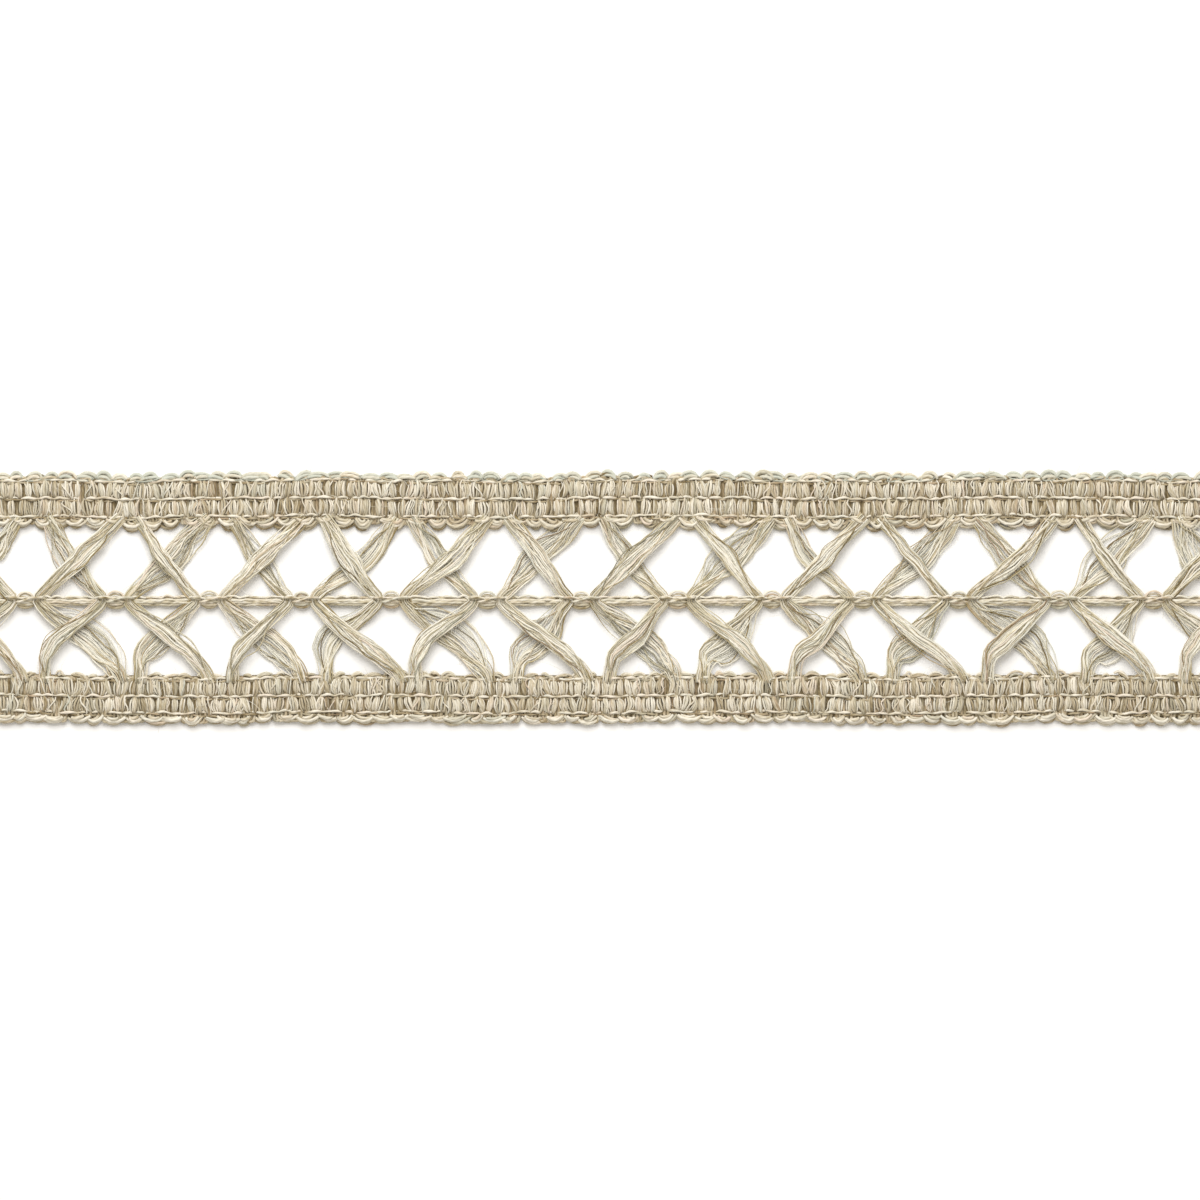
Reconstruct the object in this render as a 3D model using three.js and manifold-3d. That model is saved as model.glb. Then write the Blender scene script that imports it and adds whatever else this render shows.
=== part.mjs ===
// A cut length of flat openwork braid trim in linen, lying along X and resting on Z = 0.
// Two stitched headings are joined by bundles of yarn, which a centre chain gathers into knots.
import * as THREE from "three";
import { mergeVertices } from "three/addons/utils/BufferGeometryUtils.js";
import Module from "manifold-3d";

// Driving sizes in millimetres
const STITCH = 3.12;
const STITCHES_PER_REPEAT = 6;
const REPEATS = 13;
const GAP = 0.3; // between any two pieces
const EYE_CLEARANCE = 0.4; // round a bundle where it passes through the chain
const OPEN_HALF = 14.4; // from the middle of the trim to the inner edge of a heading
const HEADING_WIDTH = 11;
const BUNDLE_THICK = 1.1;
const BUNDLE_ROOT_WIDE = 2.2;
const BUNDLE_NECK_WIDE = 1.8;
const BUNDLE_ROOT_HEIGHT = 0.9; // of the middle of a bundle where it meets its heading
const KNOT_HEIGHT = 3;

const REPEAT = STITCH * STITCHES_PER_REPEAT;
const LENGTH = REPEAT * REPEATS;
const FIRST_KNOT = -REPEATS / 2 - 0.66; // in repeats: the knot that falls just past the left end
const MID_Y = 0.556 * OPEN_HALF; // where the bundles cross
const PAST_ROOT = 1.6; // how far a bundle is drawn past its root before it is trimmed

// Outline across a heading, from its inner edge outwards: how far out, how high on a stitch, and how
// much lower between two stitches. The three high rows are the lengthwise chains.
const HEADING_TOP = [
  { out: 0.0, high: 1.1, dip: 0.35, scallop: 0.5 },
  { out: 0.19, high: 2.1, dip: 0.3, scallop: 0 },
  { out: 0.36, high: 1.6, dip: 0.5, scallop: 0 },
  { out: 0.53, high: 2.2, dip: 0.3, scallop: 0 },
  { out: 0.7, high: 1.6, dip: 0.5, scallop: 0 },
  { out: 0.85, high: 2.1, dip: 0.3, scallop: 0 },
  { out: 1.0, high: 1.1, dip: 0.35, scallop: -0.7 },
];
const EDGE_UNDERCUT = 0.25; // the edge loops round in to the flat underside

// Slow unevenness of a heading: size, length and start of each wave, and how it turns across the band
const WAVE_SKEW = 3;
const EDGE_WAVES = [
  { size: 0.16, long: 71, start: 0.4 },
  { size: 0.12, long: 26, start: 1.9 },
];
const SWAY = EDGE_WAVES.reduce((sum, wave) => sum + wave.size, 0);

// Half of a knot and of the chain beside it: distance from the knot's middle, width and height
const KNOT_ROWS = [
  { from: 0, wide: 3.8, high: 1 },
  { from: 1.2, wide: 3.1, high: 0.92 },
  { from: 2.3, wide: 3.6, high: 1 },
  { from: 3.6, wide: 2.5, high: 0.97 },
  { from: 4.9, wide: 2.0, high: 0.64 },
];
const CHAIN_FLAT = 0.45; // share of the chain's width that is flat underneath
const APEX_FROM_KNOT = 2.6;
const NECK = { along: 4.3, out: 2.1 }; // where a bundle closes up beside its knot

// Height of a bundle's middle, by distance from the trim's middle as a share of the open band: it climbs
// or sinks from the knot's eye to its crossing level, keeps that level, and comes back to its root
const LEAVE_KNOT = { from: 0.15, to: 0.33 };
const REACH_ROOT = { from: 0.8, to: 1 };
const UNDER_HEIGHT = BUNDLE_THICK / 2 + 0.01;
const OVER_HEIGHT = UNDER_HEIGHT + BUNDLE_THICK + GAP;

// How far each knot slips from an even spacing, in millimetres
const KNOT_SLIP = [0.5, 0.5, -0.3, -0.2, -0.5, -1.3, -0.8, -0.7, -0.2, -0.1, -0.5, -0.2, 1.2, 1.2, 1.3];

// A bundle runs from the upper heading to its knot and on to the lower heading. Its roots and the
// middles of its two arms are in stitches from the knot, and its greatest widths in millimetres.
const bundle = (topRoot, topMid, topWide, lowMid, lowRoot, lowWide) => ({
  topRoot,
  topMid,
  topWide,
  lowMid,
  lowRoot,
  lowWide,
});

// Bundles on the left of a knot, from the knot at the left end to the one past the right end
const LEFT_BUNDLES = [
  bundle(-4.0, -2.9, 3.2, -3.7, -4.5, 3.3),
  bundle(-4.0, -2.9, 3.3, -3.7, -4.5, 3.3),
  bundle(-4.2, -2.9, 2.6, -3.3, -4.4, 4.2),
  bundle(-4.1, -2.9, 2.4, -3.4, -4.4, 3.6),
  bundle(-3.9, -2.7, 4.4, -3.8, -4.2, 3.3),
  bundle(-4.4, -3.2, 2.8, -4.0, -4.6, 3.6),
  bundle(-4.2, -2.6, 3.9, -2.6, -4.1, 4.6),
  bundle(-4.4, -3.3, 2.6, -2.9, -4.3, 3.8),
  bundle(-4.4, -2.8, 2.9, -2.8, -4.4, 4.4),
  bundle(-4.5, -3.5, 2.4, -3.0, -4.4, 3.8),
  bundle(-4.5, -2.9, 2.5, -2.9, -4.2, 4.0),
  bundle(-4.8, -3.0, 2.6, -3.4, -4.6, 4.2),
  bundle(-4.3, -3.0, 3.0, -2.8, -4.2, 3.6),
  bundle(-4.2, -3.3, 4.4, -3.2, -4.0, 3.4),
];

// Bundles on the right of a knot, from the knot past the left end to the one at the right end
const RIGHT_BUNDLES = [
  bundle(5.1, 3.7, 3.0, 4.0, 5.6, 3.0),
  bundle(5.4, 3.3, 3.6, 4.0, 5.9, 3.5),
  bundle(5.4, 3.4, 4.0, 3.7, 5.8, 3.2),
  bundle(5.4, 3.3, 4.0, 3.8, 5.7, 3.4),
  bundle(5.6, 4.3, 2.8, 3.5, 6.1, 3.6),
  bundle(5.6, 3.8, 4.0, 4.2, 6.0, 3.8),
  bundle(5.3, 3.2, 3.6, 3.9, 6.1, 3.4),
  bundle(5.4, 3.3, 4.2, 4.1, 5.8, 3.8),
  bundle(5.4, 3.5, 3.6, 3.7, 5.6, 3.2),
  bundle(5.3, 3.3, 3.4, 3.6, 5.5, 3.6),
  bundle(5.4, 3.7, 3.8, 3.6, 6.0, 3.4),
  bundle(5.6, 3.8, 3.8, 4.1, 5.8, 3.8),
  bundle(5.2, 3.2, 4.0, 3.7, 5.6, 4.0),
  bundle(5.4, 3.3, 3.8, 3.8, 5.8, 3.6),
];

const linen = (color) => new THREE.MeshStandardMaterial({ color, roughness: 0.92, metalness: 0 });
const headingLinen = linen(0xd8ccb0);
const bundleLinen = linen(0xe0d6bc);
const chainLinen = linen(0xd0c4a6);

const wasm = await Module();
wasm.setup();

const knotX = (knot) => (FIRST_KNOT + knot) * REPEAT + KNOT_SLIP[knot];

// Closed skin through rings of equal point counts. Each ring runs anticlockwise seen from the far end.
function loft(rings, capFaces) {
  const around = rings[0].length;
  const last = (rings.length - 1) * around;
  const index = [];
  for (let i = 0; i < rings.length - 1; i++) {
    for (let j = 0; j < around; j++) {
      const a = i * around + j;
      const b = i * around + ((j + 1) % around);
      index.push(a, b, b + around, a, b + around, a + around);
    }
  }
  for (const [a, b, c] of capFaces) index.push(c, b, a, last + a, last + b, last + c);
  const geometry = new THREE.BufferGeometry().setFromPoints(rings.flat());
  return geometry.setIndex(index);
}

const fanFaces = (count) => Array.from({ length: count - 2 }, (_, i) => [0, i + 1, i + 2]);

function toSolid(geometry) {
  const merged = mergeVertices(geometry);
  const vertProperties = merged.attributes.position.array;
  const triVerts = new Uint32Array(merged.index.array);
  return new wasm.Manifold(new wasm.Mesh({ numProp: 3, vertProperties, triVerts }));
}

function toGeometry(solid) {
  const mesh = solid.getMesh();
  const geometry = new THREE.BufferGeometry();
  geometry.setAttribute("position", new THREE.BufferAttribute(mesh.vertProperties, 3));
  return geometry.setIndex(new THREE.BufferAttribute(mesh.triVerts, 1));
}

function boxSolid(size, centre) {
  const box = new THREE.BoxGeometry(size.x, size.y, size.z);
  box.translate(centre.x, centre.y, centre.z);
  box.deleteAttribute("normal");
  box.deleteAttribute("uv");
  return toSolid(box);
}

// Headings: ribbed across by the stitches, ridged along by three chains, with scalloped edges
function headingGeometry() {
  const halfStitches = REPEATS * STITCHES_PER_REPEAT * 2;
  const sway = (x, out) =>
    EDGE_WAVES.reduce((sum, wave) => {
      const turn = (x / wave.long) * 2 * Math.PI + wave.start + WAVE_SKEW * out;
      return sum + wave.size * Math.sin(turn);
    }, 0);
  const rings = [];
  for (let i = 0; i <= halfStitches; i++) {
    const x = (i * STITCH) / 2 - LENGTH / 2;
    const between = i % 2 === 0 ? 1 : 0;
    const top = HEADING_TOP.map((row) => {
      const edge = sway(x, row.out) + row.scallop * between;
      const y = OPEN_HALF + row.out * HEADING_WIDTH + edge;
      return new THREE.Vector3(x, y, row.high - row.dip * between);
    });
    const inner = new THREE.Vector3(x, top[0].y + EDGE_UNDERCUT, 0);
    const outer = new THREE.Vector3(x, top.at(-1).y - EDGE_UNDERCUT, 0);
    rings.push([inner, outer, ...top.reverse()]);
  }
  const contour = rings[0].map((point) => new THREE.Vector2(point.y, point.z));
  return loft(rings, THREE.ShapeUtils.triangulateShape(contour, []));
}

// Height of a bundle's middle: through the knot's eye, over or under its neighbour, into the heading
function bundleHeight(y, over) {
  const share = Math.abs(y) / OPEN_HALF;
  const fromKnot = THREE.MathUtils.smoothstep(share, LEAVE_KNOT.from, LEAVE_KNOT.to);
  const toRoot = THREE.MathUtils.smoothstep(share, REACH_ROOT.from, REACH_ROOT.to);
  const crossing = over ? OVER_HEIGHT : UNDER_HEIGHT;
  const nearKnot = THREE.MathUtils.lerp(KNOT_HEIGHT / 2, crossing, fromKnot);
  return THREE.MathUtils.lerp(nearKnot, BUNDLE_ROOT_HEIGHT, toRoot);
}

// Width of a bundle: narrow at the knot and at the root, widest where the bundles cross
function bundleWidth(y, widest) {
  const fromKnot = THREE.MathUtils.smoothstep(Math.abs(y), NECK.out, MID_Y);
  const toRoot = THREE.MathUtils.smoothstep(Math.abs(y), MID_Y, OPEN_HALF);
  const spread = THREE.MathUtils.lerp(BUNDLE_NECK_WIDE, widest, fromKnot);
  return THREE.MathUtils.lerp(spread, BUNDLE_ROOT_WIDE, toRoot);
}

// One bundle as a closed flat tube, on the left (side -1) or the right (side 1) of its knot
function bundleGeometry(knot, side, shape, margin) {
  const middle = knotX(knot);
  const along = (stitches, y) => new THREE.Vector3(middle + stitches * STITCH, y, 0);
  const reach = PAST_ROOT / (OPEN_HALF - MID_Y);
  const pastRoot = (root, mid) => root + reach * (root - mid);
  const path = new THREE.CatmullRomCurve3([
    along(pastRoot(shape.topRoot, shape.topMid), OPEN_HALF + PAST_ROOT),
    along(shape.topRoot, OPEN_HALF),
    along(shape.topMid, MID_Y),
    new THREE.Vector3(middle + side * NECK.along, NECK.out, 0),
    new THREE.Vector3(middle + side * APEX_FROM_KNOT, 0, 0),
    new THREE.Vector3(middle + side * NECK.along, -NECK.out, 0),
    along(shape.lowMid, -MID_Y),
    along(shape.lowRoot, -OPEN_HALF),
    along(pastRoot(shape.lowRoot, shape.lowMid), -OPEN_HALF - PAST_ROOT),
  ]);
  // Neighbouring crossings alternate, and a bundle that is over in the upper band is under in the lower
  const crossing = side > 0 ? knot : knot - 1;
  const overAbove = (crossing % 2 === 1) === (side > 0);
  const steps = 16;
  const sides = 6;
  const rings = [];
  for (let i = 0; i <= steps; i++) {
    const centre = path.getPoint(i / steps);
    const heading = path.getTangent(i / steps);
    const across = new THREE.Vector3(-heading.y, heading.x, 0).normalize();
    const upper = centre.y > 0;
    const wide = bundleWidth(centre.y, upper ? shape.topWide : shape.lowWide) / 2 + margin;
    const thick = BUNDLE_THICK / 2 + margin;
    centre.z = bundleHeight(centre.y, upper === overAbove);
    const ring = Array.from({ length: sides }, (_, j) => {
      const turn = (j / sides) * 2 * Math.PI;
      const point = centre.clone().addScaledVector(across, wide * Math.cos(turn));
      point.z += (thick / Math.cos(Math.PI / sides)) * Math.sin(turn);
      return point;
    });
    rings.push(ring);
  }
  return loft(rings, fanFaces(sides));
}

// Centre chain: a flat-bottomed cord that swells into a ridged knot once a repeat
function chainGeometry() {
  const cord = KNOT_ROWS.at(-1);
  const stations = [{ x: -LENGTH / 2, wide: cord.wide, high: cord.high }];
  for (let knot = 1; knot <= REPEATS; knot++) {
    const left = KNOT_ROWS.slice(1).reverse().map((row) => ({ ...row, from: -row.from }));
    for (const row of [...left, ...KNOT_ROWS]) {
      stations.push({ x: knotX(knot) + row.from, wide: row.wide, high: row.high });
    }
  }
  stations.push({ x: LENGTH / 2, wide: cord.wide, high: cord.high });
  const rings = stations.map(({ x, wide, high }) => {
    const half = wide / 2;
    const top = high * KNOT_HEIGHT;
    const outline = [
      [-half * CHAIN_FLAT, 0],
      [half * CHAIN_FLAT, 0],
      [half, top * 0.45],
      [half * 0.7, top * 0.88],
      [0, top],
      [-half * 0.7, top * 0.88],
      [-half, top * 0.45],
    ];
    return outline.map(([y, z]) => new THREE.Vector3(x, y, z));
  });
  return loft(rings, fanFaces(rings[0].length));
}

const trim = new THREE.Group();

function addPiece(name, geometry, material) {
  const mesh = new THREE.Mesh(geometry, material);
  mesh.name = name;
  trim.add(mesh);
  return mesh;
}

addPiece("heading_upper", headingGeometry(), headingLinen);
addPiece("heading_lower", headingGeometry(), headingLinen).rotation.z = Math.PI;

// The open band between the headings, to which the bundles are trimmed
const band = boxSolid(
  new THREE.Vector3(LENGTH, 2 * (OPEN_HALF - SWAY - GAP), 2 * KNOT_HEIGHT),
  new THREE.Vector3(0, 0, KNOT_HEIGHT),
);

let chain = toSolid(chainGeometry());
const sides = [
  { name: "left", turn: -1, rows: LEFT_BUNDLES, firstKnot: 1 },
  { name: "right", turn: 1, rows: RIGHT_BUNDLES, firstKnot: 0 },
];
for (const side of sides) {
  side.rows.forEach((shape, row) => {
    const knot = side.firstKnot + row;
    const trimmed = toSolid(bundleGeometry(knot, side.turn, shape, 0)).intersect(band);
    const eye = toSolid(bundleGeometry(knot, side.turn, shape, EYE_CLEARANCE));
    chain = chain.subtract(eye);
    const name = "bundle_" + side.name + "_" + String(knot).padStart(2, "0");
    // A knot past an end leaves only the outer parts of its arms
    const pieces = trimmed.decompose();
    for (const piece of pieces) {
      const arm = piece.boundingBox().min[1] > 0 ? "_upper" : "_lower";
      addPiece(pieces.length > 1 ? name + arm : name, toGeometry(piece), bundleLinen);
    }
  });
}
addPiece("centre_chain", toGeometry(chain), chainLinen);

export default trim;
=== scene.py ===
import math
import types

import bpy
import numpy as np
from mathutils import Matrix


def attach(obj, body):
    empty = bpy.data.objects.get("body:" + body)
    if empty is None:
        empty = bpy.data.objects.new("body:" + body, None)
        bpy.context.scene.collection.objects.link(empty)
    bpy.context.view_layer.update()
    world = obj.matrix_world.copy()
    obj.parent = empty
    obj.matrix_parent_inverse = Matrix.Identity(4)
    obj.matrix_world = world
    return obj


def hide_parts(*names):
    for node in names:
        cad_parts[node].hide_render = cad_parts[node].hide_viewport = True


# A cut length of openwork linen braid trim, lying flat along X. Lengths here are in millimetres and
# turn to metres when a mesh is made.

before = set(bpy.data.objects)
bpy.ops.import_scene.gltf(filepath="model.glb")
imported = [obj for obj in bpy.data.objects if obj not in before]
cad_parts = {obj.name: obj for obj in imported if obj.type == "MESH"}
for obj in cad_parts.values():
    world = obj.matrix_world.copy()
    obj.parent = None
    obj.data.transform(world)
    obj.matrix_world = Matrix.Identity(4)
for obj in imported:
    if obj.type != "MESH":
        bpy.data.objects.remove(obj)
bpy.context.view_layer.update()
print("frame loaded, nodes:", len(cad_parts))

trim = {
    "stitch": 3.12,
    "stitches": 78,
    "repeat": 18.72,
    "firstKnot": -7.16,  # in repeats, the knot just past the left end
    "wholeKnots": range(1, 14),  # the knots that lie between the cut ends
    "halfLength": 121.68,
    "cordGap": 0.3,  # from a cut end to the end of a lengthwise yarn
    "turnGap": 0.35,  # the same of yarns that turn back and forth in a heading
    "clothGap": 0.4,  # and of the ground and the bundles
    "openHalf": 14.4,  # middle of the trim to the inner edge of a heading
    "knotSlip": [0.5, 0.5, -0.3, -0.2, -0.5, -1.3, -0.8, -0.7, -0.2, -0.1, -0.5, -0.2, 1.2, 1.2, 1.3],
    "swaySize": [0.16, 0.12],
    "swayLong": [71, 26],
    "swayStart": [0.4, 1.9],
}


def knotX(knot):
    # even spacing of one repeat, plus the slip measured at that knot
    return (trim["firstKnot"] + knot) * trim["repeat"] + trim["knotSlip"][knot]


def ease(value, low, high):
    # smooth step: 0 below low, 1 above high, 3t^2 - 2t^3 between
    t = np.clip((value - low) / (high - low), 0, 1)
    return t * t * (3 - 2 * t)


def sway(x):
    # slow unevenness of a heading: a sum of two long sines along the trim
    total = 0
    for size, long, start in zip(trim["swaySize"], trim["swayLong"], trim["swayStart"]):
        total = total + size * np.sin(x / long * 2 * math.pi + start)
    return total


def evenPlaces(count):
    # the middles of so many equal stretches from one cut end to the other
    return (np.arange(count) + 0.5) / count * 2 * trim["halfLength"] - trim["halfLength"]


def endToEnd(steps, gap):
    # even steps from one cut end to the other, less a gap at each
    reach = trim["halfLength"] - gap
    return np.linspace(-reach, reach, steps)


def insideEnds(x, gap):
    # x, held a gap inside the two cut ends
    reach = trim["halfLength"] - gap
    return np.clip(x, -reach, reach)


def draw(rng, span, *size):
    # random values spread evenly over a span
    return rng.uniform(*span, size)


def wander(rng, count, along, longest, terms=4):
    # one smooth random line a row: sines of falling size with random starts, about -1 to 1
    total = np.zeros((count, along.shape[-1]))
    for term in range(1, terms + 1):
        start = rng.uniform(0, 2 * math.pi, (count, 1))
        pace = term * rng.uniform(0.8, 1.25, (count, 1)) / longest
        total += np.sin(2 * math.pi * along * pace + start) / term ** 0.7
    return total / 1.6


skinShape = {
    "floorGap": 0.03,  # from the floor to the lowest side of a yarn
    "streak": 0.16,  # how far the sides of a yarn differ in shade
    "streakSteps": 23,  # steps over which the shade of a side changes
    "alongShift": 40,  # so that neighbours don't show the same fibres side by side
}


def yarnSkin(rng, path, radius, tone, tint, sides):
    # a ring carried along each path: centre + radius (cos turn * side + sin turn * up), where side is
    # level and square to the path and up is square to both. Path is yarns x steps x 3. It is held inside
    # the cut ends, and is raised where a yarn would dip into the floor.
    shape = skinShape
    count, steps = path.shape[:2]
    thickness = np.broadcast_to(radius, (count, steps))
    x = insideEnds(path[:, :, 0], trim["cordGap"])
    z = np.maximum(path[:, :, 2], thickness + shape["floorGap"])
    path = np.stack([x, path[:, :, 1], z], -1)
    along = np.gradient(path, axis=1)
    along /= np.linalg.norm(along, axis=2, keepdims=True)
    side = np.cross(np.array([0.03, 0.02, 1.0]), along)  # a little off plumb, so it never vanishes
    side /= np.linalg.norm(side, axis=2, keepdims=True)
    up = np.cross(along, side)
    turn = 2 * math.pi * np.arange(sides) / sides
    ring = np.cos(turn)[:, None] * side[:, :, None, :] + np.sin(turn)[:, None] * up[:, :, None, :]
    points = path[:, :, None, :] + thickness[:, :, None, None] * ring
    ids = np.arange(count * steps * sides).reshape(count, steps, sides)
    near, far = ids[:, :-1], ids[:, 1:]
    quads = np.stack([near, np.roll(near, -1, 2), np.roll(far, -1, 2), far], -1).reshape(-1, 4)
    caps = np.concatenate([ids[:, 0, ::-1], ids[:, -1]])
    # the map alongYarn holds millimetres along the yarn, and turns round it
    gone = np.linalg.norm(np.diff(path, axis=1), axis=2)
    length = np.concatenate([np.zeros((count, 1)), np.cumsum(gone, axis=1)], 1)
    length += rng.uniform(0, shape["alongShift"], (count, 1))
    around = np.arange(sides) / sides
    u0 = np.broadcast_to(length[:, :-1, None], near.shape)
    u1 = np.broadcast_to(length[:, 1:, None], near.shape)
    v0 = np.broadcast_to(around, near.shape)
    v1 = v0 + 1 / sides
    uvQuads = np.stack([u0, v0, u0, v1, u1, v1, u1, v0], -1).reshape(-1, 2)
    firstCap = np.stack(np.broadcast_arrays(length[:, :1], around[::-1]), -1)
    lastCap = np.stack(np.broadcast_arrays(length[:, -1:], around), -1)
    uvCaps = np.concatenate([firstCap, lastCap]).reshape(-1, 2)
    # lengthwise streaks: each side of a yarn has its own slowly changing shade
    streaks = wander(rng, count * sides, np.arange(steps), shape["streakSteps"], 3)
    streaks = streaks.reshape(count, sides, steps).transpose(0, 2, 1)
    shade = np.broadcast_to(tone, (count, steps))[:, :, None] + shape["streak"] * streaks
    hue = np.broadcast_to(np.broadcast_to(tint, (count, steps))[:, :, None], shade.shape)
    return {"points": points.reshape(-1, 3), "quads": quads, "caps": caps, "sides": sides,
            "uv": np.concatenate([uvQuads, uvCaps]), "tone": shade.ravel(), "tint": hue.ravel()}


def newObject(name, data):
    # an object that holds the data, in the scene
    thing = bpy.data.objects.new(name, data)
    bpy.context.scene.collection.objects.link(thing)
    return thing


def meshPiece(name, points, loops, starts, uv, tone, tint, material):
    # writes whole arrays into a mesh: points in millimetres, faces as runs of corners
    mesh = bpy.data.meshes.new(name)
    mesh.vertices.add(len(points))
    mesh.vertices.foreach_set("co", (points * 0.001).ravel())
    mesh.loops.add(len(loops))
    mesh.loops.foreach_set("vertex_index", loops)
    mesh.polygons.add(len(starts))
    mesh.polygons.foreach_set("loop_start", starts)
    mesh.update(calc_edges=True)
    mesh.uv_layers.new(name="alongYarn").data.foreach_set("uv", uv.ravel())
    mesh.attributes.new("tone", "FLOAT", "POINT").data.foreach_set("value", tone)
    mesh.attributes.new("tint", "FLOAT", "POINT").data.foreach_set("value", tint)
    mesh.shade_smooth()
    mesh.validate()
    mesh.materials.append(material)
    return newObject(name, mesh)


def yarnPiece(name, skins, material, nodes=()):
    # joins skins into one mesh by shifting their point numbers
    loops, starts, first, corner = [], [], 0, 0
    for skin in skins:
        quads, caps, sides = skin["quads"] + first, skin["caps"] + first, skin["sides"]
        loops += [quads.ravel(), caps.ravel()]
        starts += [corner + 4 * np.arange(len(quads))]
        corner += quads.size
        starts += [corner + sides * np.arange(len(caps))]
        corner += caps.size
        first += len(skin["points"])
    joined = {key: np.concatenate([skin[key] for skin in skins]) for key in ("points", "uv", "tone", "tint")}
    piece = meshPiece(name, joined["points"], np.concatenate(loops), np.concatenate(starts),
                      joined["uv"], joined["tone"], joined["tint"], material)
    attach(piece, "root")
    if nodes:
        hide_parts(*nodes)
    triangles = sum(2 * len(s["quads"]) + (s["sides"] - 2) * len(s["caps"]) for s in skins)
    print(name, "made,", triangles, "triangles")
    return piece


def linear(code):
    # sRGB hex to linear red, green, blue
    value = np.array([int(code[i:i + 2], 16) for i in (1, 3, 5)]) / 255
    value = np.where(value <= 0.04045, value / 12.92, ((value + 0.055) / 1.055) ** 2.4)
    return (*value.tolist(), 1.0)


def addNode(tree, kind, settings=None, stops=(), **inputs):
    # adds a node, sets its properties and its colour stops, given as (place, colour code) in rising order,
    # and fills its inputs, given by name or as i and a number, or links them to a socket or a node's first
    node = tree.nodes.new("ShaderNode" + kind)
    for key, value in (settings or {}).items():
        setattr(node, key, value)
    for number, (place, code) in enumerate(stops):
        # a new ramp holds two stops, so only further ones are added
        element = node.color_ramp.elements[number] if number < 2 else node.color_ramp.elements.new(place)
        element.position, element.color = place, linear(code)
    for key, value in inputs.items():
        numbered = key[0] == "i" and key[1:].isdigit()
        socket = node.inputs[int(key[1:]) if numbered else key.replace("_", " ")]
        if isinstance(value, bpy.types.Node):
            value = value.outputs[0]
        if isinstance(value, bpy.types.NodeSocket):
            tree.links.new(value, socket)
        else:
            socket.default_value = value
    return node


# what a Math node does
times, timesPlus, plus, sineOf, cosineOf = (
    {"operation": name} for name in ("MULTIPLY", "MULTIPLY_ADD", "ADD", "SINE", "COSINE"))


def newMaterial(name):
    # an empty material and its node tree
    material = bpy.data.materials.new(name)
    material.use_nodes = True
    material.node_tree.nodes.clear()
    return material, material.node_tree


linenLook = {
    "shades": [(0.0, "#5d4c29"), (0.3, "#978664"), (0.6, "#c3b79c"), (1.0, "#e9e2d2")],
    "greenish": "#bcc0b3",  # the casts that tint turns to, above 0 and below it
    "rosy": "#d2b7a0",
    "plyPitch": 1.6,  # one turn of the ply
    # painted shade in the grooves between the two plies
    "plyShade": 0.06,
    "plyRelief": 0.5,
    "fibreStretch": 0.35,  # flax fibres show as streaks drawn out along the yarn
    "fibreScale": 3.2,
    "fibreShade": 0.17,
    "bump": 0.7,
    "bumpDepth": 0.00008,  # in metres, of which each yarn has its share
    "bumpShare": 1.0,
    "roughness": 0.82,
    "sheen": 0.25,
    "sheenRoughness": 0.5,
    "specular": 0.3,
}


def linenYarn(name, look):
    # spun flax: matte and dry, with the faint lengthwise lustre of bast fibre and a ply twist
    material, tree = newMaterial(name)
    uv = addNode(tree, "UVMap", {"uv_map": "alongYarn"})
    parts = addNode(tree, "SeparateXYZ", Vector=uv)
    along, around = parts.outputs["X"], parts.outputs["Y"]
    turn = addNode(tree, "Math", times, i0=around, i1=2 * math.pi)
    cosine = addNode(tree, "Math", cosineOf, i0=turn)
    sine = addNode(tree, "Math", sineOf, i0=turn)
    # streaks: a noise that is stretched along the yarn and closes round it
    stretched = addNode(tree, "Math", times, i0=along, i1=look["fibreStretch"])
    place = addNode(tree, "CombineXYZ", X=stretched, Y=cosine, Z=sine)
    fibres = addNode(tree, "TexNoise", Vector=place, Scale=look["fibreScale"], Detail=4.0, Roughness=0.62)
    tone = addNode(tree, "Attribute", {"attribute_name": "tone"})
    tint = addNode(tree, "Attribute", {"attribute_name": "tint"})
    swing = addNode(tree, "MapRange", Value=fibres, From_Min=0.25, From_Max=0.75,
                    To_Min=-look["fibreShade"], To_Max=look["fibreShade"])
    # ply twist: two plies, so two ridges round the yarn, advancing one turn each pitch
    doubled = addNode(tree, "Math", times, i0=turn, i1=2.0)
    ridges = addNode(tree, "Math", timesPlus, i0=along, i1=2 * math.pi / look["plyPitch"], i2=doubled)
    twist = addNode(tree, "Math", sineOf, i0=ridges)
    # painted shade: the grooves of the ply twist are darkened
    grooveShade = addNode(tree, "Math", times, i0=twist, i1=look["plyShade"])
    streaked = addNode(tree, "Math", plus, i0=tone.outputs["Fac"], i1=swing)
    level = addNode(tree, "Math", plus, i0=streaked, i1=grooveShade)
    shade = addNode(tree, "ValToRGB", stops=look["shades"], Fac=level)
    # tint moves the colour a little to green-grey or to rose
    greenShare = addNode(tree, "MapRange", Value=tint.outputs["Fac"], From_Min=0.1, From_Max=1.7,
                         To_Min=0.0, To_Max=0.85)
    rosyShare = addNode(tree, "MapRange", Value=tint.outputs["Fac"], From_Min=-0.1, From_Max=-1.0,
                        To_Min=0.0, To_Max=0.5)
    green = addNode(tree, "Mix", {"data_type": "RGBA"},
                    i0=greenShare, i6=shade, i7=linear(look["greenish"]))
    rosy = addNode(tree, "Mix", {"data_type": "RGBA"},
                   i0=rosyShare, i6=green.outputs[2], i7=linear(look["rosy"]))
    relief = addNode(tree, "Math", timesPlus, i0=twist, i1=look["plyRelief"], i2=fibres)
    bump = addNode(tree, "Bump", Strength=look["bump"],
                   Distance=look["bumpDepth"] * look["bumpShare"], Height=relief)
    skin = addNode(tree, "BsdfPrincipled", Base_Color=rosy.outputs[2], Roughness=look["roughness"],
                   Normal=bump, Sheen_Weight=look["sheen"],
                   Sheen_Roughness=look["sheenRoughness"], Specular_IOR_Level=look["specular"])
    addNode(tree, "OutputMaterial", Surface=skin)
    return material
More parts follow.
